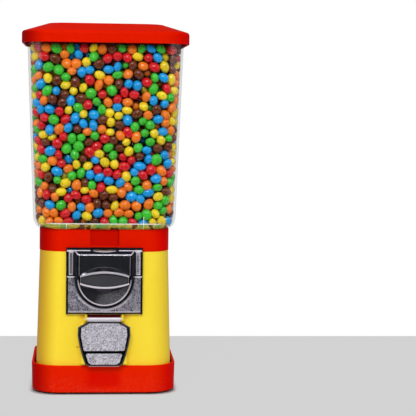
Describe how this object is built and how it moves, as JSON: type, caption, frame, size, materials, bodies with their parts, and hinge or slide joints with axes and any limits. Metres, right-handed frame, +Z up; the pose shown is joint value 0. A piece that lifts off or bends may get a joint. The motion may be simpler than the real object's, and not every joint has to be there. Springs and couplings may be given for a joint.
{
  "type": "candy dispenser",
  "caption": "Coin-operated candy dispenser: clear square globe under a red lid, on a yellow body with a chrome coin mechanism, knob and chute door.",
  "frame": {"origin": "on the centre rod's axis, at the level of the feet's undersides", "axes": "+Z up along the centre rod, -Y towards the front with the coin mechanism, +X to the right as seen from the front"},
  "size_m": [0.1954, 0.1954, 0.434],
  "materials": {
    "red_plastic": "glossy moulded",
    "yellow_plastic": "glossy moulded",
    "clear_plastic": "clear polycarbonate",
    "candy": "polished sugar coats in mixed colours",
    "cast_chrome": "bright chrome with hammered panels",
    "zinc_steel": "zinc plated",
    "cast_wheel": "cast, tumbled",
    "brass": "turned",
    "white_plastic": "moulded",
    "brush_fibre": "nylon bristle",
    "black_rubber": "moulded"
  },
  "bodies": {
    "root": {"base_tray": "red_plastic", "body_shell": "yellow_plastic", "brush": "brush_fibre", "brush_housing": "white_plastic", "candy_fill": "candy", "centre_rod": "zinc_steel", "chute": "white_plastic", "collar_screws": "zinc_steel", "door_pin": "zinc_steel", "faceplate": "cast_chrome", "foot_screws": "zinc_steel", "globe": "clear_plastic", "hopper": "white_plastic", "hub_nut": "zinc_steel", "mech_back_plate": "zinc_steel", "mech_clamps": "zinc_steel", "mech_screws": "zinc_steel", "pawl_pin": "zinc_steel", "pawl_spring": "zinc_steel", "rod_nuts": "zinc_steel", "rod_washer": "zinc_steel", "rubber_feet": "black_rubber", "shaft_bushing": "brass", "top_collar": "red_plastic", "wheel_bushing": "white_plastic"},
    "lid": {"lid": "red_plastic", "lock_housing": "cast_chrome"},
    "lock": {"lock_plug": "brass", "lock_nut": "brass"},
    "handle": {"handle": "cast_chrome", "handle_shaft": "zinc_steel", "coin_wheel": "cast_wheel", "ratchet_wheel": "zinc_steel", "drive_gear": "cast_wheel", "shaft_clip": "zinc_steel"},
    "wheel": {"candy_wheel": "white_plastic", "wheel_hub": "white_plastic", "wheel_pegs": "white_plastic", "agitator": "zinc_steel"},
    "door": {"chute_door": "cast_chrome"},
    "pawl": {"ratchet_pawl": "zinc_steel"}
  },
  "joints": [
    {"name": "lid_lift", "type": "slide", "parent": "root", "child": "lid", "axis": [0, 0, 1], "range_m": [0, 0.08]},
    {"name": "lock_turn", "type": "hinge", "parent": "lid", "child": "lock", "pos_m": [0, 0, 0.4214], "axis": [0, 0, 1], "range_deg": [0, 90]},
    {"name": "handle_turn", "type": "hinge", "parent": "root", "child": "handle", "pos_m": [0, -0.09, 0.1364], "axis": [0, 1, 0], "continuous": true},
    {"name": "wheel_turn", "type": "hinge", "parent": "root", "child": "wheel", "pos_m": [0, 0, 0.1618], "axis": [0, 0, 1], "continuous": true},
    {"name": "door_swing", "type": "hinge", "parent": "root", "child": "door", "pos_m": [0, -0.0854, 0.089], "axis": [-1, 0, 0], "range_deg": [0, 75]},
    {"name": "pawl_lift", "type": "hinge", "parent": "root", "child": "pawl", "pos_m": [0.027, -0.0738, 0.1448], "axis": [0, 1, 0], "range_deg": [0, 8], "stiffness_Nm_per_rad": 0.01}
  ],
  "couplings": [
    {"joint": "wheel_turn", "follows": "handle_turn", "ratio": 0.2}
  ]
}
